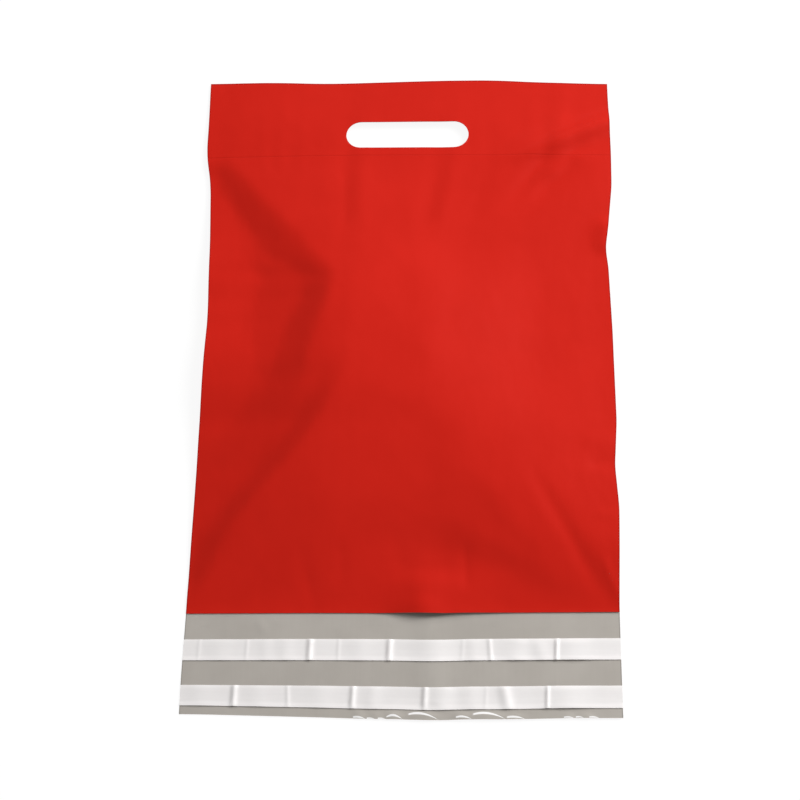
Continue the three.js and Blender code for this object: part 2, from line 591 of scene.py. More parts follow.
    def under_pouch(self, x: Array, y: Array, upper: Array) -> Array:
        """Work out the back panel under the pouch.

        Formula: the heights of the two side welds and of the cross weld, each falling to the table
        on a squared slope, joined by their fourth-power mean and kept below the front panel.

        Args:
            x: Places across the bag.
            y: Places along the bag.
            upper: Height of the front panel above the same rows, from side weld to side weld.

        Returns:
            Height of the back panel's outer face at each place.
        """
        at_weld = self.front(x, np.full_like(y, self.weld)) - self.two_walls
        left = upper[:, :1] * np.clip(1.0 - (x + self.half_width) / self.side_reach, 0.0, 1.0) ** 2
        right = upper[:, -1:] * np.clip(1.0 - (self.half_width - x) / self.side_reach, 0.0, 1.0) ** 2
        end = at_weld * np.clip(1.0 - (self.weld - y) / self.weld_reach, 0.0, 1.0) ** 2
        joined = (left**4 + right**4 + end**4) ** 0.25
        joined = joined * ease((y - self.mouth) / self.mouth_run)
        return np.clip(joined, 0.0, np.maximum(upper - self.two_walls, 0.0))

    def lip(self, x: Array, y: Array) -> Array:
        """Work out the lip's lower face, the outside of the back panel's run past the mouth.

        Formula: the lip's curl, which grows with a power of the way to its end, with its creases
        and puckers added, eased in from the mouth and kept above the table.

        Args:
            x: Places across the bag.
            y: Places along the bag.

        Returns:
            Height of the lip's lower face at each place.
        """
        down = self.mouth - y
        way = (down - self.curl_from) / (self.mouth - self.lip_end - self.curl_from)
        z = self.curl.at(x) * np.clip(way, 0.0, None) ** self.curl_power
        return np.maximum(lifted(z, self.lip_reliefs, x, y), 0.0) * ease(down / self.lip_run)

    def plan(self, across: Array, y: Array) -> tuple[Array, Array]:
        """Lay a flat grid out with the bag's real outline.

        Formula: each row is drawn in evenly between its two side edges. The folded end and the
        mouth with the lip are shifted in step with how near a row is to them, and the lip's end
        with the cube of that.

        Args:
            across: Places across the flat web, from -1 to 1.
            y: Places along the bag.

        Returns:
            Places across and along the bag as it lies.
        """
        left = self.left_pull.at(y)
        right = self.right_pull.at(y)
        x = self.half_width * across + left * (1.0 - across) / 2.0 - right * (1.0 + across) / 2.0
        fold_share = ease((y - self.fold_shift_from) / (self.fold - self.fold_shift_from))
        mouth_share = 1.0 - ease((y - self.mouth) / self.mouth_shift_run)
        lip_share = np.clip((self.mouth - y) / (self.mouth - self.lip_end), 0.0, 1.0) ** 3
        y = y + fold_share * self.fold_shift.at(x) + mouth_share * self.mouth_shift.at(x)
        return x, y + lip_share * self.lip_shift.at(x)


class Socket:
    """A shader socket that Python arithmetic can be written with."""

    def __init__(self, nodes: "Nodes", socket: bpy.types.NodeSocket) -> None:
        """Keep the socket and the tree that it belongs to."""
        self.nodes = nodes
        self.socket = socket

    def maths(self, operation: str, *values: "Socket | float") -> "Socket":
        """Add a Math node that works on the given values."""
        return self.nodes.node("ShaderNodeMath", {"operation": operation}, dict(enumerate(values)))

    def __add__(self, other: "Socket | float") -> "Socket":
        """Add a value."""
        return self.maths("ADD", self, other)

    def __radd__(self, other: float) -> "Socket":
        """Add to a number."""
        return self.maths("ADD", other, self)

    def __sub__(self, other: "Socket | float") -> "Socket":
        """Take a value away."""
        return self.maths("SUBTRACT", self, other)

    def __rsub__(self, other: float) -> "Socket":
        """Take from a number."""
        return self.maths("SUBTRACT", other, self)

    def __mul__(self, other: "Socket | float") -> "Socket":
        """Multiply by a value."""
        return self.maths("MULTIPLY", self, other)

    def __rmul__(self, other: float) -> "Socket":
        """Multiply a number."""
        return self.maths("MULTIPLY", other, self)

    def __abs__(self) -> "Socket":
        """Drop the sign."""
        return self.maths("ABSOLUTE", self)

    def least(self, other: "Socket") -> "Socket":
        """Take the lower of two values."""
        return self.maths("MINIMUM", self, other)

    def most(self, other: "Socket") -> "Socket":
        """Take the higher of two values."""
        return self.maths("MAXIMUM", self, other)


class Nodes:
    """The node tree of one material or of the world, emptied and filled again."""

    def __init__(self, owner: bpy.types.Material | bpy.types.World) -> None:
        """Empty the owner's tree.

        Args:
            owner: The material or the world.
        """
        owner.use_nodes = True
        self.tree = owner.node_tree
        self.tree.nodes.clear()

    def node(
        self,
        kind: str,
        settings: Mapping[str, object] | None = None,
        values: Mapping[str | int, object] | None = None,
        output: str | int = 0,
    ) -> Socket:
        """Add a node, with its settings first and then the values or links of its sockets.

        Args:
            kind: Blender's name of the node type.
            settings: Attributes of the node.
            values: Numbers, colours or sockets by input name or index.
            output: Name or index of the output to give back.

        Returns:
            That output, or for a node with none its first input.
        """
        made = self.tree.nodes.new(kind)
        for name, setting in (settings or {}).items():
            setattr(made, name, setting)
        for name, value in (values or {}).items():
            if isinstance(value, Socket):
                self.tree.links.new(value.socket, made.inputs[name])
            else:
                made.inputs[name].default_value = value
        return Socket(self, made.outputs[output] if made.outputs else made.inputs[0])

    def mix(self, factor: Socket, first: Socket | Triple, second: Socket | Triple) -> Socket:
        """Mix two colours, which are inputs 6 and 7 and output 2 of a Mix node.

        Args:
            factor: Share of the second colour.
            first: Colour at 0.
            second: Colour at 1.

        Returns:
            The mixed colour.
        """
        ends = [end if isinstance(end, Socket) else (*end, 1.0) for end in (first, second)]
        values = {0: factor, 6: ends[0], 7: ends[1]}
        return self.node("ShaderNodeMix", {"data_type": "RGBA"}, values, 2)

    def axis(self, place: Socket, name: str) -> Socket:
        """Give one coordinate of a place."""
        return self.node("ShaderNodeSeparateXYZ", {}, {0: place}, name)

    def step(self, value: Socket, start: float, end: float) -> Socket:
        """Ease from 0 to 1 as a value goes from start to end, inputs 1 and 2 of a Map Range node."""
        settings = {"interpolation_type": "SMOOTHSTEP", "clamp": True}
        return self.node("ShaderNodeMapRange", settings, {"Value": value, 1: start, 2: end})

    def show(self, shader: Socket) -> None:
        """Make a shader the material's surface."""
        self.node("ShaderNodeOutputMaterial", {}, {"Surface": shader})


@dataclass(frozen=True)
class Grain:
    """A noise on a sheet: its grains to the metre, its detail and how it is drawn out."""

    scale: float
    detail: float = 3.0
    drawn: Triple = (1.0, 1.0, 1.0)

    def pattern(self, nodes: Nodes, web: Socket) -> Socket:
        """Add the noise.

        Args:
            nodes: The material's tree.
            web: Places on the web.

        Returns:
            The noise at those places.
        """
        place = nodes.node("ShaderNodeMapping", {}, {"Vector": web, "Scale": self.drawn})
        values = {"Vector": place, "Scale": self.scale, "Detail": self.detail}
        return nodes.node("ShaderNodeTexNoise", {}, values, "Fac")


@dataclass(frozen=True, kw_only=True)
class Finish:
    """A face of film, liner or glue: two near colours in lines and clouds, its gloss and its bump.

    The pattern goes from the colour to the pale one over the tint range, and the roughness follows
    the clouds.
    """

    name: str
    colour: Triple
    pale: Triple
    roughness: float
    specular: float
    crinkle: float
    lines: Grain
    clouds: Grain
    crinkles: Grain
    line_share: float
    cloud_roughness: float
    bump_depth: float
    tint_range: Point = (0.3, 0.7)

    def begin(self) -> tuple[bpy.types.Material, Nodes, Socket]:
        """Start the material and read places on the piece's own UV map, which is in metres.

        Returns:
            The material, its tree and the places.
        """
        material = bpy.data.materials.new(self.name)
        nodes = Nodes(material)
        return material, nodes, nodes.node("ShaderNodeUVMap", {"uv_map": WEB_UV})

    def tint(self, nodes: Nodes, lines: Socket, clouds: Socket) -> Socket:
        """Mix the two colours by the lines and the clouds."""
        pattern = lines * self.line_share + clouds * (1.0 - self.line_share)
        return nodes.mix(nodes.step(pattern, *self.tint_range), self.colour, self.pale)

    def close(self, nodes: Nodes, colour: Socket, clouds: Socket, height: Socket) -> None:
        """Close the material with one glossy shader over a bump.

        Args:
            nodes: The material's tree.
            colour: Colour of the face.
            clouds: Pattern that the roughness follows.
            height: Height of the bump, in bump depths.
        """
        bump = {"Strength": self.crinkle, "Distance": self.bump_depth, "Height": height}
        look = {
            "Base Color": colour,
            "Roughness": clouds * self.cloud_roughness + (self.roughness - self.cloud_roughness / 2.0),
            "Specular IOR Level": self.specular,
            "Normal": nodes.node("ShaderNodeBump", {}, bump),
        }
        nodes.show(nodes.node("ShaderNodeBsdfPrincipled", {}, look))


@dataclass(frozen=True)
class PaintedGlint:
    """A painted white glint: a crescent in the lip's loose tail, in millimetres."""

    at: float
    reach: float
    top: float
    width: float = 1.3
    left: float = 0.4
    tip: float = 0.1
    blur: float = 0.12

    def mark(self, nodes: Nodes, across: Socket, tail: Socket) -> Socket:
        """Draw the crescent, which starts a little left of its top and droops to the right.

        Formula: with u the distance from its middle in reaches, a place is on it when it lies below
        top (1 - u^2) by no more than width (1 - u^2), and u is more than minus left. Its left end
        fades in over the tip, and its edges over the blur.

        Args:
            nodes: The material's tree.
            across: Distance from the web's middle.
            tail: Distance from the lip's end.

        Returns:
            1 on the crescent and 0 elsewhere.
        """
        u = (across - self.at) * (1.0 / self.reach)
        arch = 1.0 - u * u
        below = arch * self.top - tail
        inner = nodes.step(below - arch * self.width, -self.blur, self.blur)
        outer = nodes.step(below, -self.blur, self.blur)
        return outer * (1.0 - inner) * nodes.step(u, -self.left - self.tip, -self.left)


@dataclass(frozen=True)
class WebMarks:
    """Places on the flat web in metres: its side edges, its cross weld, its fold and its end."""

    side: float
    weld: float
    fold: float
    end: float


@dataclass(frozen=True, kw_only=True)
class FilmFinish(Finish):
    """One face of the film: machine lines, painted shade at its weld, sealed sides and fold, and
    painted glints.
    """

    marks: WebMarks
    lines: Grain = Grain(420.0, 2.0, (1.0, 0.03, 1.0))
    clouds: Grain = Grain(28.0)
    crinkles: Grain = Grain(130.0, 3.0, (1.0, 0.6, 1.0))
    waves: Grain = Grain(42.0, 2.0, (1.0, 0.7, 1.0))
    grain: Grain = Grain(1800.0, 2.0)
    line_share: float = 0.15
    cloud_roughness: float = 0.16
    bump_depth: float = 0.0006
    wave_height: float = 2.4
    crinkle_height: float = 0.5
    line_height: float = 0.02
    grain_height: float = 0.04
    weld_height: float = 0.5
    weld_half_width: float = 0.0009
    # Painted shade in the weld's groove and along the side edges and fold: its share at the weld, its
    # width and core at the edges, and how dark it makes the colour
    weld_shade: float = 0.25
    edge_shade_width: float = 0.0011
    edge_shade_core: float = 0.4
    painted_shade_share: float = 0.72
    # Painted white glints in the lip's tail, and their colour
    painted_glints: Sequence[PaintedGlint] = ()
    glint_white: Triple = (0.97, 0.96, 0.95)

    def with_painted_glints(self, nodes: Nodes, web: Socket, colour: Socket) -> Socket:
        """Lay the painted white glints over the film's colour.

        Args:
            nodes: The material's tree.
            web: Places on the web.
            colour: The film's colour.

        Returns:
            The colour with the painted glints.
        """
        across = nodes.axis(web, "X") * (1.0 / MM)
        tail = (self.marks.end - nodes.axis(web, "Y")) * (1.0 / MM)
        for arc in self.painted_glints:
            colour = nodes.mix(arc.mark(nodes, across, tail), colour, self.glint_white)
        return colour

    def rim(self, nodes: Nodes, web: Socket) -> Socket:
        """Mark the sealed side edges and the fold, where painted shade darkens the film as it curves
        down.

        Args:
            nodes: The material's tree.
            web: Places on the web.

        Returns:
            1 on those lines and 0 elsewhere.
        """
        from_side = self.marks.side - abs(nodes.axis(web, "X"))
        from_fold = abs(nodes.axis(web, "Y") - self.marks.fold)
        away = from_side.least(from_fold)
        return 1.0 - nodes.step(away, self.edge_shade_width * self.edge_shade_core, self.edge_shade_width)

    def make(self) -> bpy.types.Material:
        """Build the material.

        Returns:
            The material.
        """
        material, nodes, web = self.begin()
        lines = self.lines.pattern(nodes, web)
        clouds = self.clouds.pattern(nodes, web)
        from_weld = abs(nodes.axis(web, "Y") - self.marks.weld)
        weld = 1.0 - nodes.step(from_weld, 0.0, self.weld_half_width)
        # Painted shade: the weld's groove, the side edges and the fold are mixed towards a darker copy
        # of the colour
        shade_colour = tuple(channel * self.painted_shade_share for channel in self.colour)
        painted_shade = (weld * self.weld_shade).most(self.rim(nodes, web))
        colour = nodes.mix(painted_shade, self.tint(nodes, lines, clouds), shade_colour)
        height = (
            self.waves.pattern(nodes, web) * self.wave_height
            + self.crinkles.pattern(nodes, web) * self.crinkle_height
            + lines * self.line_height
            + self.grain.pattern(nodes, web) * self.grain_height
            - weld * self.weld_height
        )
        self.close(nodes, self.with_painted_glints(nodes, web, colour), clouds, height)
        return material


@dataclass(frozen=True, kw_only=True)
class StripFinish(Finish):
    """A closing strip's face: a pale liner or the glue under it, with faint lines along it."""

    lines: Grain = Grain(600.0, 2.0, (0.05, 1.0, 1.0))
    clouds: Grain = Grain(45.0)
    crinkles: Grain = Grain(160.0)
    line_share: float = 0.3
    cloud_roughness: float = 0.14
    bump_depth: float = 0.0005
    line_height: float = 0.15

    def make(self) -> bpy.types.Material:
        """Build the material.

        Returns:
            The material.
        """
        material, nodes, web = self.begin()
        lines = self.lines.pattern(nodes, web)
        clouds = self.clouds.pattern(nodes, web)
        height = self.crinkles.pattern(nodes, web) + lines * self.line_height
        self.close(nodes, self.tint(nodes, lines, clouds), clouds, height)
        return material


def grid_faces(rows: int, columns: int) -> Array:
    """List the four corners of each cell of a grid, cell by cell, turning left.

    Args:
        rows: Number of rows of points.
        columns: Number of points in a row.

    Returns:
        One line of four point numbers a cell.
    """
    numbers = np.arange(rows * columns).reshape(rows, columns)
    corners = (numbers[:-1, :-1], numbers[:-1, 1:], numbers[1:, 1:], numbers[1:, :-1])
    return np.stack(corners, axis=-1).reshape(-1, 4)


def open_edges(faces: Array) -> Array:
    """Find the edges that only one face has.

    Args:
        faces: One line of four point numbers a face.

    Returns:
        One line of two point numbers an edge, in its face's direction.
    """
    edges = np.concatenate([faces[:, (i, (i + 1) % 4)] for i in range(4)])
    ordered = np.sort(edges, axis=1)
    _, first, count = np.unique(ordered, axis=0, return_index=True, return_counts=True)
    return edges[first[count == 1]]


def grid_normals(points: Array) -> Array:
    """Work out the unit normals of a grid surface.

    Formula: the cross product of the surface's two directions, brought to length 1.

    Args:
        points: Grid of points.

    Returns:
        Normal at each point.
    """
    across = np.gradient(points, axis=1)
    along = np.gradient(points, axis=0)
    normals = np.cross(across, along)
    return normals / np.linalg.norm(normals, axis=-1, keepdims=True)


@dataclass(frozen=True)
class Sheet:
    """A grid surface with a thickness: its outer points in millimetres, its flat UV and its gaps."""

    points: Array
    flat: Array
    gaps: Array
    thickness: float
    sharp_angle: float = 55.0

    def build(self, name: str, materials: Sequence[bpy.types.Material]) -> bpy.types.Object:
        """Make the closed shell: the outer face, the same face one thickness in, and their rim.

        Args:
            name: Name of the piece.
            materials: Finishes of the outside and of the inside.

        Returns:
            The piece, at the origin.
        """
        rows, columns = self.points.shape[:2]
        inner = self.points - self.thickness * grid_normals(self.points)
        faces = grid_faces(rows, columns)[~self.gaps.ravel()]
        used, packed = np.unique(faces, return_inverse=True)
        faces = packed.reshape(-1, 4)
        count = len(used)
        edges = open_edges(faces)
        rim = np.column_stack((edges[:, 1], edges[:, 0], edges[:, 0] + count, edges[:, 1] + count))
        everything = np.concatenate((faces, faces[:, ::-1] + count, rim))
        points = np.concatenate((self.points.reshape(-1, 3)[used], inner.reshape(-1, 3)[used]))
        flat = self.flat.reshape(-1, 2)[used] * MM
        kinds = np.full(len(everything), Side.OUTSIDE.value)
        kinds[len(faces) : 2 * len(faces)] = Side.INSIDE.value

        mesh = bpy.data.meshes.new(name)
        mesh.from_pydata(points * MM, [], everything.tolist())
        mesh.polygons.foreach_set("material_index", kinds)
        mesh.polygons.foreach_set("use_smooth", np.ones(len(everything), dtype=bool))
        layer = mesh.uv_layers.new(name=WEB_UV)
        layer.uv.foreach_set("vector", np.concatenate((flat, flat))[everything.ravel()].ravel())
        for material in materials:
            mesh.materials.append(material)
        mesh.update(calc_edges=True)
        mesh.set_sharp_from_angle(angle=math.radians(self.sharp_angle))
        return linked(bpy.data.objects.new(name, mesh))


def linked(made: bpy.types.Object) -> bpy.types.Object:
    """Put a new object into the scene."""
    bpy.context.scene.collection.objects.link(made)
    return made


def enrol(piece: bpy.types.Object, node: str) -> None:
    """Tie a piece to the CAD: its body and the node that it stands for.

    Args:
        piece: The piece.
        node: CAD node that it replaces.
    """
    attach(piece, BODY)
    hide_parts(node)
    log.info("%s: %d faces, stands for %s", piece.name, len(piece.data.polygons), node)


@dataclass
class FilmBag:
    """The one folded and welded web of film, with its carry slot."""

    form: FilmForm
    columns: int = 148
    slot_length: float = 97.0
    slot_height: float = 23.5
    slot_from_fold: float = 35.4
    fold_steps: int = 5
    evening: int = 2

    # Stretches of closer rows, and the widest steps from the mouth to the fold and from the lip's
    # end to the cross weld
    weld_margin: float = 4.0
    mouth_margin: float = 6.0
    lip_margin: float = 7.0
    gather_margin: float = 24.0
    front_pitches: Sequence[float] = (1.5, 2.6, 1.0, 1.3, 1.7, 3.0)
    back_pitches: Sequence[float] = (0.7, 2.2, 7.0, 2.6)

    def across(self) -> Array:
        """Give the places across the flat web, from -1 to 1."""
        return np.linspace(-1.0, 1.0, self.columns + 1)

    def front_rows(self) -> Array:
        """Spread the front wall's rows, closer together at the mouth, the weld and the slot.

        Returns:
            Places of the rows along the bag, from the mouth to the folded end.
        """
        form = self.form
        slot_top = form.fold - self.slot_from_fold
        slot_bottom = slot_top - self.slot_height
        below, above = form.weld - self.weld_margin, form.weld + self.weld_margin
        near_mouth = form.mouth + self.mouth_margin
        stops = (form.mouth, near_mouth, below, above, slot_bottom, slot_top, form.fold)
        return graded(stops, self.front_pitches)

    def back_rows(self) -> Array:
        """Spread the back wall's rows, with those of the handle band as on the front wall.

        Returns:
            Places of the rows along the bag, from the folded end to the lip's end.
        """
        form = self.form
        front = self.front_rows()
        below = form.weld - self.weld_margin
        handle = front[front >= below - TINY][::-1]
        near_end = form.lip_end + self.lip_margin
        stops = (form.lip_end, near_end, form.mouth, below - self.gather_margin, below)
        lower = graded(stops, self.back_pitches)[::-1]
        return np.concatenate((handle, lower[1:]))

    def cut_slot(self, x: Array, y: Array) -> tuple[Array, Array, Array]:
        """Find the cells inside the carry slot and draw the points round it onto its outline.

        Formula: the slot is every point within its end radius of the line between its two end
        centres, and a point goes to its outline along the shortest way.

        Args:
            x: Places across the bag.
            y: Places along the bag.

        Returns:
            The new places and, for each cell, whether it is cut away.
        """
        radius = self.slot_height / 2.0
        reach = self.slot_length / 2.0 - radius
        middle = self.form.fold - self.slot_from_fold - radius
        spine = np.clip(x, -reach, reach)
        away = np.maximum(np.hypot(x - spine, y - middle), TINY)
        cells = (away[:-1, :-1] + away[:-1, 1:] + away[1:, 1:] + away[1:, :-1]) / 4.0
        gaps = cells < radius
        ringed = np.pad(gaps, 1)
        corners = np.stack((ringed[:-1, :-1], ringed[:-1, 1:], ringed[1:, 1:], ringed[1:, :-1]))
        rim = corners.any(axis=0) & ~corners.all(axis=0)
        x = np.where(rim, spine + (x - spine) * radius / away, x)
        y = np.where(rim, middle + (y - middle) * radius / away, y)
        return x, y, gaps

    def laid_out(self, rows: Array) -> tuple[Array, Array, Array]:
        """Lay some rows of the web out on the table with the slot cut.

        Args:
            rows: Places of the rows along the bag.

        Returns:
            Places across and along the bag, and for each cell whether it is cut away.
        """
        across, y = np.meshgrid(self.across(), rows)
        x, y = self.form.plan(across, y)
        return self.cut_slot(x, y)

    def front_wall(self, rows: Array) -> tuple[Array, Array]:
        """Work out the front wall, which lies at the form's upper height, evened out.

        Args:
            rows: Places of its rows along the bag.

        Returns:
            Its points, and for each cell whether it is cut away.
        """
        x, y, gaps = self.laid_out(rows)
        return np.stack((x, y, evened(self.form.upper(x, y), self.evening)), axis=-1), gaps

    def back_wall(self, rows: Array, front_rows: Array, upper: Array) -> tuple[Array, Array]:
        """Work out the back wall and the lip.

        Formula: the wall keeps a gap below the handle band that widens to the fold, runs under the
        pouch from weld to weld and goes on as the lip, and never lies below the table.

        Args:
            rows: Places of its rows along the bag.
            front_rows: Places of the front wall's rows.
            upper: Heights of the front wall.

        Returns:
            Its points, and for each cell whether it is cut away.
        """
        form = self.form
        x, y, gaps = self.laid_out(rows)
        at = np.interp(rows, front_rows, np.arange(len(front_rows)))
        row = np.minimum(at.astype(int), len(front_rows) - 2)
        part = (at - row)[:, None]
        above = upper[row] * (1.0 - part) + upper[row + 1] * part
        share = np.clip((y - form.weld) / (form.fold - form.weld), 0.0, 1.0)
        gap = form.two_walls + (form.fold_gap - form.two_walls) * share
        z = np.where(y > form.weld, above - gap, form.under_pouch(x, y, above))
        z = np.where(y < form.mouth, form.lip(x, y), z)
        return np.stack((x, y, np.maximum(z, 0.0)), axis=-1), gaps

    def folded_end(self, front: Array, back: Array) -> Array:
        """Turn the film over at the folded end.

        Formula: half a turn round a line halfway between the two walls.

        Args:
            front: Points of the front wall's last row.
            back: Points of the back wall's first row.

        Returns:
            Points of the rows between those two.
        """
        turns = np.linspace(0.0, math.pi, self.fold_steps + 2)[1:-1, None]
        radius = (front[:, 2] - back[:, 2]) / 2.0
        middle = (front[:, 2] + back[:, 2]) / 2.0
        x = np.broadcast_to(front[:, 0], (self.fold_steps, len(front)))
        y = front[:, 1] + radius * np.sin(turns)
        return np.stack((x, y, middle + radius * np.cos(turns)), axis=-1)

    def sheet(self) -> Sheet:
        """Put the whole web together: front wall, fold, back wall and lip.

        Returns:
            The sheet.
        """
        form = self.form
        front_rows = self.front_rows()
        back_rows = self.back_rows()
        front, front_gaps = self.front_wall(front_rows)
        back, back_gaps = self.back_wall(back_rows, front_rows, front[..., 2])
        points = np.concatenate((front, self.folded_end(front[-1], back[0]), back))
        gaps = np.zeros((len(points) - 1, self.columns), dtype=bool)
        gaps[: len(front) - 1] = front_gaps
        gaps[len(front) + self.fold_steps :] = back_gaps
        at_fold = np.full(self.fold_steps, form.fold - form.mouth)
        past_fold = 2 * form.fold - form.mouth - back_rows
        along = np.concatenate((front_rows - form.mouth, at_fold, past_fold))
        flat = np.stack(np.meshgrid(self.across() * form.half_width, along), axis=-1)
        return Sheet(points, flat, gaps, form.film)

    def build(self) -> None:
        form = self.form
        length = 2.0 * form.fold - form.mouth - form.lip_end
        marks = WebMarks(
            side=form.half_width * MM,
            weld=(form.weld - form.mouth) * MM,
            fold=(form.fold - form.mouth) * MM,
            end=length * MM,
        )
        red = FilmFinish(
            name="red_film",
            colour=(0.614, 0.0158, 0.0082),
            pale=(0.636, 0.0168, 0.0088),
            roughness=0.46,
            specular=0.045,
            crinkle=0.30,
            marks=marks,
        )
        grey = FilmFinish(
            name="grey_film",
            colour=(0.430, 0.395, 0.355),
            pale=(0.465, 0.430, 0.388),
            roughness=0.20,
            specular=0.5,
            crinkle=0.22,
            marks=marks,
            # Painted white glints in the lip's tail
            painted_glints=PAINTED_GLINTS,
        )
        piece = self.sheet().build("film_web", (red.make(), grey.make()))
        enrol(piece, "film_bag")
        length * MM


@dataclass
class ClosingStrip:
    """One band of glue on the lip under its peel-off liner.

    Each of the liner's creases has its place across the bag, its slant, its lift and its half width.
    """

    form: FilmForm
    use: Use
    creases: Sequence[LinerCrease]
    columns: int = 400
    rows: int = 23
    liner_width: float = 15.5
    liner: float = 0.1
    glue_width: float = 12.0
    glue: float = 0.06
    crease_reach: float = 9.0

    # The liner's loose lower edge, and its upper half, which stands off a little up to its rim
    edge_lift: float = 0.45
    edge_inset: float = 2.0
    edge_run: float = 4.0
    top_lift: float = 0.16
    top_from: float = -1.0
    rim_run: float = 1.4

    def middle(self) -> float:
        """Give the strip's place along the bag, from its CAD liner, to a hundredth of a millimetre."""
        low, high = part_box(f"{self.use.value}_liner")
        return round((low.y + high.y) / 2.0 / MM, 2)

    def crossing(self) -> list[Crease]:
        """Give the short creases that cross the liner."""
        low, high = self.middle() - self.crease_reach, self.middle() + self.crease_reach
        return [
            Crease((x - slant, low), (x + slant, high), lift, half_width)
            for x, slant, lift, half_width in self.creases
        ]

    def band(self, width: float, base: float, thickness: float, creased: bool) -> Sheet:
        """Work out a thin band that lies on the lip from edge to edge.

        Formula: the lip's own height plus the layers under the band. A liner's lower edge eases up,
        its upper half eases up and down again at its rim, and its creases are added.

        Args:
            width: Width of the band.
            base: Height of its underside above the lip's outer face.
            thickness: Thickness of the band.
            creased: Whether it is lifted and creased as the liner is.

        Returns:
            The band's sheet, with its upper face outside.
        """
        columns = np.linspace(-1.0, 1.0, self.columns + 1)
        across, rows = np.meshgrid(columns, np.linspace(-width / 2.0, width / 2.0, self.rows))
        x, y = self.form.plan(across, self.middle() + rows)
        z = self.form.lip(x, y) + base + thickness
        if creased:
            edge = self.edge_inset - self.glue_width / 2.0
            rim = self.liner_width / 2.0 - self.rim_run
            z = z + self.edge_lift * ease((edge - rows) / self.edge_run)
            rise = self.top_lift * ease((rows - self.top_from) / rim)
            z = z + rise * (1.0 - ease((rows - rim) / self.rim_run))
            z = lifted(z, self.crossing(), x, y)
        points = np.stack((x, y, z), axis=-1)
        flat = np.stack((across * self.form.half_width, rows), axis=-1)
        return Sheet(points, flat, np.zeros((self.rows - 1, self.columns), dtype=bool), thickness)

    def build(self) -> None:
        use = self.use.value
        hot_melt = StripFinish(
            name=f"{use}_glue_finish",
            colour=(0.74, 0.68, 0.53),
            pale=(0.80, 0.75, 0.62),
            roughness=0.25,
            specular=0.5,
            crinkle=0.3,
        ).make()
        paper = StripFinish(
            name=f"{use}_liner_finish",
            colour=(0.90, 0.87, 0.86),
            pale=(0.94, 0.91, 0.90),
            roughness=0.36,
            specular=0.4,
            crinkle=0.10,
        ).make()
        glue = self.band(self.glue_width, self.form.film, self.glue, False)
        glue_piece = glue.build(f"{use}_glue_band", (hot_melt, hot_melt))
        enrol(glue_piece, f"{use}_adhesive")
        liner = self.band(self.liner_width, self.form.film + self.glue, self.liner, True)
        liner_piece = liner.build(f"{use}_liner_strip", (paper, paper))
        enrol(liner_piece, f"{use}_liner")


def plain_grey(level: float) -> tuple[float, float, float, float]:
    """Give an opaque grey."""
    return (level, level, level, 1.0)


@dataclass(frozen=True)
class Lamp:
    """An area light that faces the bag: its direction, distance, width and height, and power.

    Lengths are in metres and the power is in watts.
    """

    name: str
    aim: Triple
    distance: float
    size: Point
    power: float

    def hang(self) -> None:
        """Hang the light."""
        lamp = bpy.data.lights.new(self.name, "AREA")
        lamp.shape = "RECTANGLE"
        lamp.size, lamp.size_y = self.size
        lamp.energy = self.power
        light = linked(bpy.data.objects.new(self.name, lamp))
        way = Vector(self.aim).normalized()
        light.location = way * self.distance
        light.rotation_euler = way.to_track_quat("Z", "Y").to_euler()


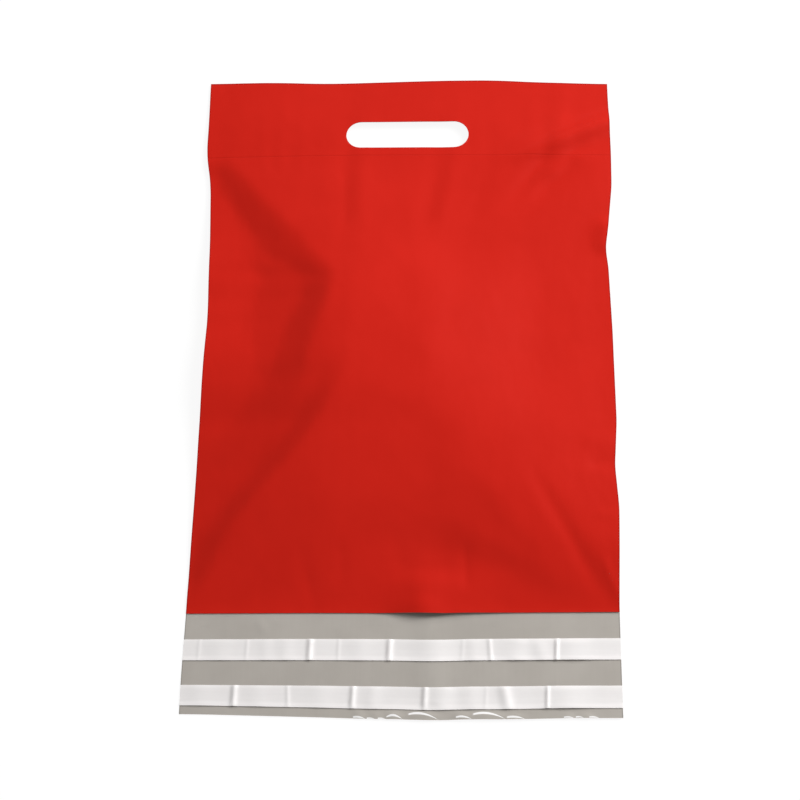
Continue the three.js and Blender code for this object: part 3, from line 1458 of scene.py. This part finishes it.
@dataclass(frozen=True)
class Studio:
    """The plain set: a pale floor, a soft key light with a strip light, an even fill and the camera.

    Lengths are in metres, the roll in degrees, and the camera's lens and sensor in millimetres.
    """

    floor_size: float = 8.0
    floor_drop: float = 0.0004
    floor_grey: float = 0.8
    floor_shade: float = 0.13
    floor_glow: float = 0.91
    fill: float = 0.24
    lamps: Sequence[Lamp] = (
        Lamp("key", (1.1, 0.65, 1.0), 3.0, (1.6, 1.6), 98.2),
        Lamp("strip", (0.05, 0.85, 0.53), 2.0, (1.0, 0.15), 5.0),
    )
    eye: Triple = (0.0554, -0.4245, 1.2712)
    target: Triple = (-0.003, -0.014, 0.0)
    roll: float = -7.655
    lens: float = 79.28
    sensor: float = 36.0

    def seen(self, nodes: Nodes) -> Socket:
        """Tell what the camera sees, straight or by a reflection or through glass.

        Args:
            nodes: The tree of the floor's material or of the world.

        Returns:
            1 where it is seen and 0 where it only lights other things.
        """
        outputs = ("Is Camera Ray", "Is Glossy Ray", "Is Transmission Ray")
        camera, glossy, through = (nodes.node("ShaderNodeLightPath", output=name) for name in outputs)
        values = {"Value": camera + glossy + through, "Min": 0.0, "Max": 1.0}
        return nodes.node("ShaderNodeClamp", {}, values)

    def light_world(self) -> None:
        """Fill the scene with an even light, and show white behind everything."""
        world = bpy.data.worlds.new("studio_world")
        nodes = Nodes(world)
        strength = self.seen(nodes) * (1.0 - self.fill) + self.fill
        white = {"Color": plain_grey(1.0), "Strength": strength}
        light = nodes.node("ShaderNodeBackground", {}, white)
        nodes.node("ShaderNodeOutputWorld", {}, {"Surface": light})
        bpy.context.scene.world = world

    def floor_look(self) -> bpy.types.Material:
        """Make the floor's material, which looks white and still takes the bag's soft shadow.

        Returns:
            The material.
        """
        material = bpy.data.materials.new("studio_floor")
        nodes = Nodes(material)
        pale = nodes.node("ShaderNodeBsdfDiffuse", {}, {"Color": plain_grey(self.floor_grey)})
        shaded = nodes.node("ShaderNodeBsdfDiffuse", {}, {"Color": plain_grey(self.floor_shade)})
        white = {"Color": plain_grey(1.0), "Strength": self.floor_glow}
        glow = nodes.node("ShaderNodeEmission", {}, white)
        bright = nodes.node("ShaderNodeAddShader", {}, {0: shaded, 1: glow})
        nodes.show(nodes.node("ShaderNodeMixShader", {}, {0: self.seen(nodes), 1: pale, 2: bright}))
        return material

    def lay_floor(self) -> None:
        """Lay the pale floor just under the bag."""
        reach = self.floor_size / 2.0
        corners = [(-reach, -reach), (reach, -reach), (reach, reach), (-reach, reach)]
        mesh = bpy.data.meshes.new("studio_floor")
        mesh.from_pydata([(*corner, -self.floor_drop) for corner in corners], [], [(0, 1, 2, 3)])
        mesh.materials.append(self.floor_look())
        linked(bpy.data.objects.new("studio_floor", mesh))

    def set_camera(self) -> None:
        """Stand the camera where the photograph was taken from, turned by its roll."""
        eye = Vector(self.eye)
        forward = (Vector(self.target) - eye).normalized()
        level = forward.cross(Vector((0.0, 0.0, 1.0))).normalized()
        rise = level.cross(forward)
        turn = math.radians(self.roll)
        right = math.cos(turn) * level + math.sin(turn) * rise
        up = math.cos(turn) * rise - math.sin(turn) * level
        data = bpy.data.cameras.new("camera")
        data.lens = self.lens
        data.sensor_width = self.sensor
        camera = linked(bpy.data.objects.new("camera", data))
        turned = Matrix((right, up, -forward)).transposed().to_4x4()
        camera.matrix_world = Matrix.Translation(eye) @ turned
        bpy.context.scene.camera = camera

    def build(self) -> None:
        """Set the whole studio up."""
        bpy.context.scene.view_settings.view_transform = "Standard"
        self.light_world()
        self.lay_floor()
        for lamp in self.lamps:
            lamp.hang()
        self.set_camera()


# Painted white glints at the lip's end, and the creases of the two liners
PAINTED_GLINTS = (
    PaintedGlint(-31, 6, 1.8),
    PaintedGlint(-22, 4, 1.0, 1.0),
    PaintedGlint(-14, 4, 1.0, 1.0),
    PaintedGlint(-5, 7, 3.4, 1.5, 0.6),
    PaintedGlint(13, 15, 5.2, 1.5),
    PaintedGlint(44, 8, 2.7),
    PaintedGlint(60, 16, 5.0, 1.5),
    PaintedGlint(81, 9, 2.3, 1.4),
    PaintedGlint(120, 5, 1.3, 1.0),
    PaintedGlint(128, 4, 1.4, 1.0),
    PaintedGlint(138, 5, 1.3, 1.0),
)
SEND_CREASES = (
    (-147, 0.5, 0.20, 1.2),
    (-132, 0.0, 0.50, 9.0),
    (-112, 0.3, 0.25, 1.2),
    (-98, -0.4, 0.50, 6.0),
    (-84, 0.4, 0.60, 7.0),
    (-66, 0.4, 1.20, 2.1),
    (-45, 0.3, 0.25, 1.2),
    (-30, 0.0, 0.50, 9.0),
    (-8, 0.4, 1.20, 2.1),
    (22, 0.0, 0.40, 14.0),
    (45, 0.6, 0.20, 1.4),
    (52, 0.0, 0.50, 6.0),
    (65, -0.6, 0.60, 1.6),
    (84, 2.0, 0.90, 9.0),
    (101, -3.0, 0.70, 6.0),
    (113, 0.3, 1.00, 1.4),
    (124, 0.0, 1.10, 14.0),
)
RETURN_CREASES = (
    (-145, 0.0, 0.50, 9.0),
    (-120, 0.4, 1.20, 2.1),
    (-103, 0.0, 0.50, 8.0),
    (-81, -0.4, 0.40, 1.4),
    (-58, 0.0, 0.50, 10.0),
    (-34, 0.5, 1.15, 2.0),
    (-20, 1.0, 0.70, 6.0),
    (18, 0.4, 1.15, 2.0),
    (30, 2.0, 0.80, 8.0),
    (50, 0.0, 0.60, 7.0),
    (62, 0.5, 0.20, 1.4),
    (76, -1.8, 1.10, 4.0),
    (106, 0.3, 0.90, 1.4),
    (118, 0.0, 1.20, 16.0),
)


def main() -> None:
    logging.basicConfig(level=logging.INFO, format="%(name)s: %(message)s")
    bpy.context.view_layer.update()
    form = FilmForm()
    FilmBag(form).build()
    ClosingStrip(form, Use.SEND, SEND_CREASES).build()
    ClosingStrip(form, Use.RETURN, RETURN_CREASES).build()
    Studio().build()


if __name__ == "__main__":
    main()
